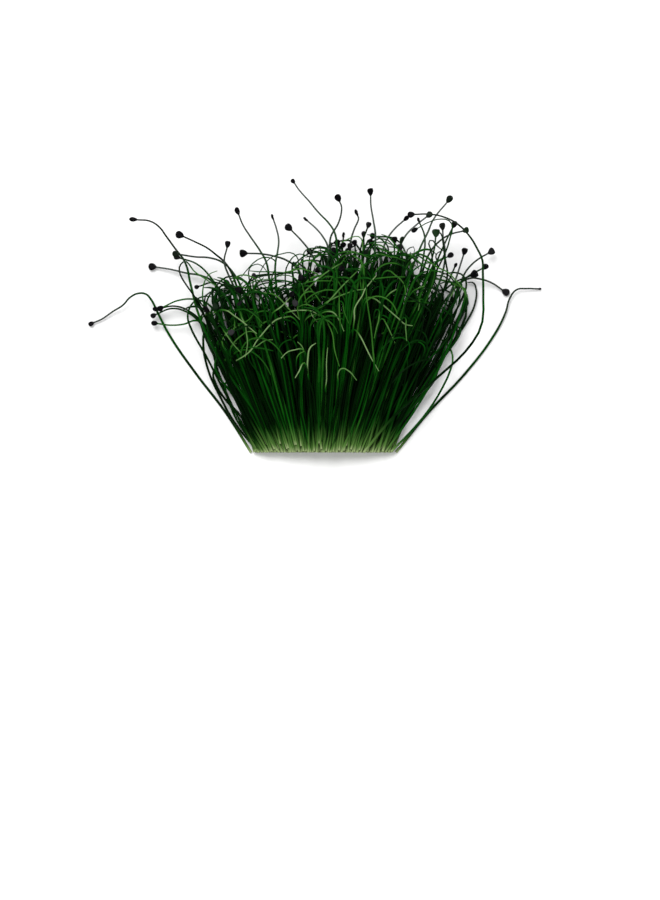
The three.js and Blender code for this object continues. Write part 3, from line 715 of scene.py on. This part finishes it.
streaks = streakGroup()
mottle = mottleGroup()
sproutLook = sproutMaterial("sproutGreen", sproutFinish, streaks, mottle)
tuftLook = sproutMaterial("tuftGreen", tuftFinish, streaks, mottle)
hullLook = hullMaterial("seedBlack", hullFinish, mottle)

longStem, archStem, fillStem, floorStem = [
    straightStem(name, sides, rings) for name, (sides, rings) in stemDetail.items()]
dropHull = seedHull("dropHull", hullShape["drop"])
wedgeHull = seedHull("wedgeHull", hullShape["wedge"])
route = makeRoute()
print("patterns ready")


def finishPiece(piece, look, nodes):
    piece.data.materials.clear()
    piece.data.materials.append(look)
    for face in piece.data.polygons:
        face.material_index = 0
    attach(piece, "root")
    if nodes:
        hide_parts(*nodes)


# tones of a long sprout at places along it, and how far up a green tip's colours are stretched
longTone = {"low": (0.28, 0.46), "lowUpTo": 0.45, "bend": 0.5, "bendAt": 0.6, "tipFrom": 0.85,
            "greenTip": 0.74}

for number, path in enumerate(longRoutes, 1):
    hasHull = number not in bareSprouts
    tones = [(longTone["lowUpTo"], dice.uniform(*longTone["low"])),
             (longTone["bendAt"], bendTones.get(number, longTone["bend"])),
             (longTone["tipFrom"], tipTones[number - 1])]
    radii = tapered(path, hasHull, stemShape["footRadius"])
    stem = bentStem(longStem, route, path, radii, tones, 0, 1)
    if number in greenTips:
        for value in stem.data.attributes["along"].data:
            value.value *= longTone["greenTip"]
    stem = joined([stem], f"sproutStem_{number:02d}")
    finishPiece(stem, sproutLook, [f"sprout_{number:02d}"])
    if hasHull:
        length, roll = longHulls[number]
        heading = Vector(path[-1]) - Vector(path[-2])
        pattern = wedgeHull if number in wedgeHulls else dropHull
        hull = placedHull(pattern, path[-1], heading, length, roll, hullTints.get(number))
        hull = joined([hull], f"seedHull_{number:02d}")
        finishPiece(hull, hullLook, [f"seed_hull_{number:02d}"])
print("long sprouts ready")

# the pile of shorter sprouts fans out from the cut ends to the crown
pile = {
    "centre": 3.2, "halfFoot": 30, "footLine": -59, "edgeHeight": 3.8, "midHeight": 10.4,
    "spacing": 1.02, "rowSpacing": 0.87, "rows": 12, "floorLevel": 1.5, "unevenCut": 4, "footSway": 0.06,
    "crownCentre": 6, "crownHalf": 74, "crownLine": 12, "rise": 18, "riseLength": 85,
}
# the stems keep inside these: lowest, sideways, near and far
pileLimits = {"low": 0.68, "side": 94, "near": -59, "far": 57}
# how far up the fan reaches: x and y
crownTops = [(-68, -2), (-58, 6), (-46, 14), (-34, 17), (-26, 15.5), (-11, 16), (-5, 24), (3, 29.5),
             (20, 33), (36, 32), (41, 28), (45, 18), (50, 15), (62, 17), (70, 12), (79, 0)]


def crownTop(x):
    return between(crownTops, x)


def pileHeight(u):
    # u runs from -1 at the fan's left side to 1 at its right
    return pile["edgeHeight"] + (pile["midHeight"] - pile["edgeHeight"]) * (1 - u * u)


def fanPlace(x, y):
    part = (y - pile["footLine"]) / (pile["crownLine"] - pile["footLine"])
    centre = pile["centre"] + (pile["crownCentre"] - pile["centre"]) * part
    half = pile["halfFoot"] + (pile["crownHalf"] - pile["halfFoot"]) * part
    return max(-1, min(1, (x - centre) / half))


def riseTo(u, y, level=1):
    # the fan's sides rise half as much as its middle
    return level ** 0.8 * pile["rise"] * (1 - 0.5 * u * u) * (y - pile["footLine"]) / pile["riseLength"]


def topOf(x, y):
    u = fanPlace(x, y)
    return pileHeight(u) + riseTo(u, y)


def cutEnds():
    # places for the cut ends, packed in rows, clear of the long sprouts
    places = []
    spacing = pile["spacing"]
    nearest = stemShape["footRadius"] + stemShape["tuftFootRadius"]
    for row in range(pile["rows"]):
        z = stemShape["tuftFootRadius"] + row * spacing * pile["rowSpacing"]
        for column in range(round(2 * pile["halfFoot"] / spacing) + 1):
            x = pile["centre"] - pile["halfFoot"] + (column + row % 2 / 2) * spacing
            u = (x - pile["centre"]) / pile["halfFoot"]
            clear = all(math.hypot(x - path[0][0], z - path[0][2]) > nearest for path in longRoutes)
            if abs(u) <= 1 and z <= pileHeight(u) and clear:
                places.append((x, z))
    return places


def takeFoot(u, level):
    # the free cut end nearest to a place in the fan, level 0 on the surface and 1 on top
    x = pile["centre"] + pile["halfFoot"] * u
    z = level * pileHeight(u)
    return freeEnds.pop(freeEnds.index(min(freeEnds, key=lambda end: math.hypot(end[0] - x, end[1] - z))))


def footPoint(end):
    # most are cut on one line, and a few are shorter
    shorter = dice.random() ** 4 * pile["unevenCut"]
    return Vector((end[0] + dice.gauss(0, pile["footSway"]), pile["footLine"] + shorter, end[1]))


def clampPoint(point):
    point.z = max(point.z, pileLimits["low"])
    point.x = max(-pileLimits["side"], min(pileLimits["side"], point.x))
    point.y = max(pileLimits["near"], min(pileLimits["far"], point.y))
    return point


def risingPoints(foot, end, count, wander):
    # from the foot to the end, flat at first and rising towards the end
    points = [foot]
    for step in range(1, count):
        part = step / count
        point = foot.lerp(end, part)
        point.z = foot.z + (end.z - foot.z) * part ** 1.5
        point.x += math.sin(math.pi * part) * wander + dice.gauss(0, 0.4)
        points.append(clampPoint(point))
    points.append(clampPoint(end))
    return points


def drawnBends(ranges):
    # one radius and one turn out of each pair of ranges
    return [(dice.uniform(*radius), dice.uniform(*turn)) for radius, turn in ranges]


def curl(start, ahead, side, bends, droop):
    # arcs one after the other, each a radius and a turn, in the plane of ahead and side
    points = []
    angle = 0
    place = start.copy()
    whole = sum(radius * abs(turn) for radius, turn in bends)
    gone = 0
    for radius, turn in bends:
        steps = max(1, round(radius * abs(turn) / 4), round(abs(turn) / 0.7))
        stride = radius * abs(turn) / steps
        for step in range(steps):
            angle += turn / steps / 2
            place = place + (ahead * math.cos(angle) + side * math.sin(angle)) * stride
            angle += turn / steps / 2
            gone += stride
            points.append(clampPoint(place - Vector((0, 0, droop * (gone / whole) ** 2))))
    return points


def sideWay(u, ahead, lean):
    # a direction square to the stem: across the fan, tipped up or down by lean; at the fan's edges
    # it points inwards
    way = dice.choice((-1, 1)) if abs(u) < 0.55 else -u
    side = Vector((way, 0, lean))
    side -= ahead * side.dot(ahead)
    return side.normalized()


def belowCrown(points, knee):
    # past the bend a stem hardly leaves the crown
    for point in points[knee + 1:]:
        over = point.y - crownTop(point.x) - 1
        if over > 0:
            point.y -= over * 0.65


tuftSprouts = {number: [] for number in range(1, 6)}
tuftHulls = {number: [] for number in range(1, 6)}


def keepSprout(pattern, points, knee, low, high, thick, hullLength=0, roll=None, tint=None):
    # low and high are the tones before and past the bend, and a darker low tone is painted shade where the
    # stem runs up inside the pile; the tuft a sprout belongs to is told by where its cut end is
    u = (points[0].x - pile["centre"]) / pile["halfFoot"]
    number = max(1, min(5, int((u + 1) * 2.5) + 1))
    radii = tapered(points, hullLength > 0, stemShape["tuftFootRadius"], thick, knee)
    lengths = reaches(points)
    meet = lengths[knee] / lengths[-1]
    tones = [(meet - 0.06, low), (meet + 0.06, high)]
    tuftSprouts[number].append((pattern, points, radii, tones))
    if hullLength:
        heading = points[-1] - points[-2]
        roll = dice.uniform(-50, 60) if roll is None else roll
        hull = wedgeHull if dice.random() < 0.3 else dropHull
        tuftHulls[number].append((hull, points[-1], heading, hullLength, roll, tint))


# a habit is how one kind of sprout grows: pairs are ranges that are drawn from, bends are pairs of a
# radius and a turn, sway is sideways, low and high are tones before and past the bend
archHabit = {"lift": (0.6, 2.4), "sway": 1.6, "low": (0.08, 0.5), "thick": 0.84, "hullTint": (0, 0.1)}


def archSprout(tone, thick, hullLength, places):
    # comes up through the pile to the first place, then bends over on top
    x, y = places[0]
    foot = footPoint(takeFoot(fanPlace(x, y), 1))
    lift = dice.uniform(*archHabit["lift"])
    bend = [clampPoint(Vector((x, y, topOf(x, y) + lift))) for x, y in places]
    points = risingPoints(foot, bend[0], 4, dice.gauss(0, archHabit["sway"]))
    knee = len(points) - 1
    low = dice.uniform(*archHabit["low"])
    thick *= archHabit["thick"]
    keepSprout(archStem, points + bend[1:], knee, low, tone, thick, hullLength,
               None, archHabit["hullTint"])


tipHabit = {
    "halfWidth": 78, "fanSway": 0.04, "topHeight": 30, "climb": 0.1, "reach": 9, "sideReach": 16,
    "hump": 1.5, "start": (0.35, 0.45, 0.2), "steps": 8, "knee": 5, "low": (0.1, 0.5),
    "high": (0.25, 0.55), "thick": 0.95,
}


def tipSprout(x, y, z, heading, length, roll, tint=None):
    # a sprout whose hull sits at a given place
    u = (x - pile["crownCentre"]) / tipHabit["halfWidth"] + dice.gauss(0, tipHabit["fanSway"])
    foot = footPoint(takeFoot(max(-1, min(1, u)), z / tipHabit["topHeight"]))
    angle = math.radians(heading)
    way = Vector((math.sin(angle), math.cos(angle), tipHabit["climb"]))
    tip = Vector((x, y, z)) - way * length * 0.5
    reach = tipHabit["reach"] + tipHabit["sideReach"] * abs(math.sin(angle / 2))
    bend = tip - way * reach
    bend.z += tipHabit["hump"]
    aside, ahead, up = tipHabit["start"]
    start = foot + Vector(((bend.x - foot.x) * aside, (bend.y - foot.y) * ahead, (z - foot.z) * up))
    points = []
    for step in range(tipHabit["steps"] + 1):
        part = step / tipHabit["steps"]
        point = (foot * (1 - part) ** 3 + start * 3 * part * (1 - part) ** 2
                 + bend * 3 * part * part * (1 - part) + tip * part ** 3)
        points.append(clampPoint(point))
    low = dice.uniform(*tipHabit["low"])
    high = dice.uniform(*tipHabit["high"])
    keepSprout(archStem, points, tipHabit["knee"], low, high, tipHabit["thick"], length, roll, tint)


columnHabit = {
    "spacing": 1.25, "stagger": (-3, 6), "toneSpread": (-0.05, 0.08), "lift": 1, "sway": 0.6,
    "bends": [((3, 9), (0.6, 1.8)), ((6, 14), (0.1, 0.8))],
    "lean": (-0.6, 0.3), "droop": 1, "thick": 1.15,
}


def columnSprout(x, y, tone, lift):
    foot = footPoint(takeFoot(fanPlace(x, y), 1))
    knee = Vector((x, y, topOf(x, y) + lift))
    points = risingPoints(foot, knee, 3, dice.gauss(0, columnHabit["sway"]))
    kneeIndex = len(points) - 1
    ahead = (points[-1] - points[-2]).normalized()
    bends = drawnBends(columnHabit["bends"])
    side = sideWay(0, ahead, dice.uniform(*columnHabit["lean"]))
    points += curl(knee, ahead, side, bends, columnHabit["droop"])
    keepSprout(archStem, points, kneeIndex, tone, tone, columnHabit["thick"])


def makeColumn(x, y, count, tone, lift=columnHabit["lift"]):
    for step in range(count):
        beside = (step - count / 2) * columnHabit["spacing"]
        back = dice.uniform(*columnHabit["stagger"])
        columnSprout(x + beside, y + back, tone + dice.uniform(*columnHabit["toneSpread"]), lift)


canopyHabit = {
    "count": 116, "across": (-0.9, 0.86), "footLevel": 0.8, "belowTop": (6, 36), "sink": (0, 5),
    "arch": [((3, 9), (1.4, 2.7)), ((7, 20), (0.1, 0.9))],
    "longRun": [((2, 6), (0.8, 1.7)), ((30, 80), (0.2, 0.4))],
    "sway": 2.5, "lean": (-0.5, 0.7), "droop": (0, 4),
    "low": (0.05, 0.45), "high": (0.45, 0.85), "rightDarker": 0.3, "thick": 0.78,
}


def canopySprout(index):
    # high in the crown: an open arch, or a quick turn and a long run across the crown
    u = dice.uniform(*canopyHabit["across"])
    foot = footPoint(takeFoot(u, canopyHabit["footLevel"]))
    x = pile["crownCentre"] + pile["crownHalf"] * u
    y = crownTop(x) - dice.uniform(*canopyHabit["belowTop"])
    x = foot.x + (x - foot.x) * (y - foot.y) / (pile["crownLine"] - pile["footLine"])
    knee = Vector((x, y, topOf(x, y) - dice.uniform(*canopyHabit["sink"])))
    points = risingPoints(foot, knee, 4, dice.gauss(0, canopyHabit["sway"]))
    kneeIndex = len(points) - 1
    ahead = (points[-1] - points[-2]).normalized()
    bends = drawnBends(canopyHabit["arch" if index % 3 else "longRun"])
    side = sideWay(u, ahead, dice.uniform(*canopyHabit["lean"]))
    points += curl(knee, ahead, side, bends, dice.uniform(*canopyHabit["droop"]))
    belowCrown(points, kneeIndex)
    # they are darker towards the right
    high = dice.uniform(*canopyHabit["high"]) - canopyHabit["rightDarker"] * max(0, u)
    low = dice.uniform(*canopyHabit["low"])
    keepSprout(archStem, points, kneeIndex, low, high, canopyHabit["thick"])


def paintedSideLight(u):
    # painted light: the sprouts at the fan's two sides are painted greener, as if they got more light
    return max(0, abs(u) - 0.6) * 0.6


floorHabit = {
    "fan": 0.93, "belowTop": (7, 16), "bends": [((4, 9), (0.4, 1.4))], "lean": 0.3, "low": 0.85,
    "tone": (0, 0.25), "paler": 0.2, "thick": 1.6, "sideThinner": 0.4,
}


def floorSprout(end):
    # the lowest sprouts are thick and straight, and lie side by side on the surface
    foot = footPoint(end)
    u = (foot.x - pile["centre"]) / pile["halfFoot"]
    x = pile["crownCentre"] + pile["crownHalf"] * u * floorHabit["fan"]
    y = crownTop(x) - dice.uniform(*floorHabit["belowTop"])
    x = foot.x + (x - foot.x) * (y - foot.y) / (pile["crownLine"] - pile["footLine"])
    knee = Vector((x, y, foot.z + 0.4))
    points = [foot, foot.lerp(knee, 0.5), knee]
    ahead = (knee - foot).normalized()
    bends = drawnBends(floorHabit["bends"])
    points += curl(knee, ahead, sideWay(u, ahead, floorHabit["lean"]), bends, 0)
    for point in points[1:]:
        point.z = max(point.z, floorHabit["low"])
    # painted shade: the lowest sprouts are painted dark, as the shade at the bottom of the pile, and
    # greener at the fan's sides by the painted side light
    tone = dice.uniform(*floorHabit["tone"]) + paintedSideLight(u)
    thick = floorHabit["thick"] - floorHabit["sideThinner"] * abs(u)
    keepSprout(floorStem, points, 2, tone, tone + floorHabit["paler"], thick)


# the rest of the pile; the shares say which part of them has each kind of bend
fillHabit = {
    "fan": (0.84, 1), "spread": 7, "widest": 1.15, "belowTop": 5, "slowBelowTop": 16, "depth": 34,
    "archShare": 0.5, "arch": [((3.5, 10), (1.2, 2.6)), ((6, 20), (-0.3, 0.9))],
    "longRunShare": 0.35, "longRun": [((1.5, 3), (1.0, 2.0)), ((14, 40), (0.25, 0.8))],
    "slow": [((14, 22), (0.5, 1.0)), ((3, 6), (0.3, 1.2))],
    "sway": 2.8, "lean": (-0.8, 0.6), "droop": (0, 5), "hullShare": 0.1, "hull": (2.8, 3.4),
    "tone": 0.66, "paler": 0.15, "crownPaler": 0.25, "crownDepth": 14, "thick": (0.85, 1.1),
    "archLevel": 0.7, "archSide": 0.85,
}


def fillSprout(end):
    foot = footPoint(end)
    u = (foot.x - pile["centre"]) / pile["halfFoot"]
    level = end[1] / pileHeight(u)
    x = pile["crownCentre"] + pile["crownHalf"] * u * dice.uniform(*fillHabit["fan"])
    x += dice.gauss(0, fillHabit["spread"])
    draw = dice.random()
    if draw < fillHabit["archShare"]:
        kind = "arch"       # an open arch
    elif draw < fillHabit["archShare"] + fillHabit["longRunShare"]:
        kind = "longRun"    # a sharp knee and a long run that bends slowly
    else:
        kind = "slow"       # a slow bend only, which starts lower
    below = fillHabit["slowBelowTop" if kind == "slow" else "belowTop"]
    y = crownTop(x) - below - fillHabit["depth"] * dice.random() ** 1.4
    reach = (y - foot.y) / (pile["crownLine"] - pile["footLine"])
    x = foot.x + (x - foot.x) * min(fillHabit["widest"], reach)
    knee = Vector((x, y, foot.z + riseTo(u, y, level) + 0.5))
    points = risingPoints(foot, knee, 4, dice.gauss(0, fillHabit["sway"]))
    kneeIndex = len(points) - 1
    ahead = (points[-1] - points[-2]).normalized()
    bends = drawnBends(fillHabit[kind])
    side = sideWay(u, ahead, dice.uniform(*fillHabit["lean"]))
    points += curl(knee, ahead, side, bends, dice.uniform(*fillHabit["droop"]))
    belowCrown(points, kneeIndex)
    hullLength = dice.uniform(*fillHabit["hull"]) if dice.random() < fillHabit["hullShare"] else 0
    # painted shade: those deep in the pile are painted darker, and the painted side light makes those at
    # the fan's sides greener
    tone = dice.random() ** 1.8 * fillHabit["tone"] * (0.25 + 0.75 * level) + paintedSideLight(u) * 0.7
    # those that bend near the top of the crown are greener past the bend
    nearTop = max(0, 1 - (crownTop(x) - knee.y) / fillHabit["crownDepth"])
    high = tone + fillHabit["paler"] + fillHabit["crownPaler"] * nearTop
    # those that show get the finer stem
    shows = level > fillHabit["archLevel"] or abs(u) > fillHabit["archSide"]
    pattern = archStem if shows else fillStem
    thick = dice.uniform(*fillHabit["thick"])
    keepSprout(pattern, points, kneeIndex, tone, high, thick, hullLength)


freeEnds = [end for end in cutEnds() if end[1] > pile["floorLevel"]]
for end in cutEnds():
    if end[1] <= pile["floorLevel"]:
        floorSprout(end)
for arch in archRoutes:
    archSprout(*arch)
for place in tipPlaces:
    tipSprout(*place)
for column in columnPlaces:
    makeColumn(*column)
for index in range(canopyHabit["count"]):
    canopySprout(index)
for end in freeEnds:
    fillSprout(end)

for number in tuftSprouts:
    count = len(tuftSprouts[number])
    stems = []
    for index, (pattern, points, radii, tones) in enumerate(tuftSprouts[number]):
        stems.append(bentStem(pattern, route, points, radii, tones, index, count))
    piece = joined(stems, f"tuftStems_{number:02d}")
    finishPiece(piece, tuftLook, [f"tuft_{number:02d}"])
    hulls = [placedHull(*tip) for tip in tuftHulls[number]]
    piece = joined(hulls, f"tuftHulls_{number:02d}")
    finishPiece(piece, hullLook, [])
    print(f"tuft {number} ready: {len(stems)} stems, {len(hulls)} hulls")

for spare in (longStem, archStem, fillStem, floorStem, dropHull, wedgeHull, route):
    bpy.data.objects.remove(spare)
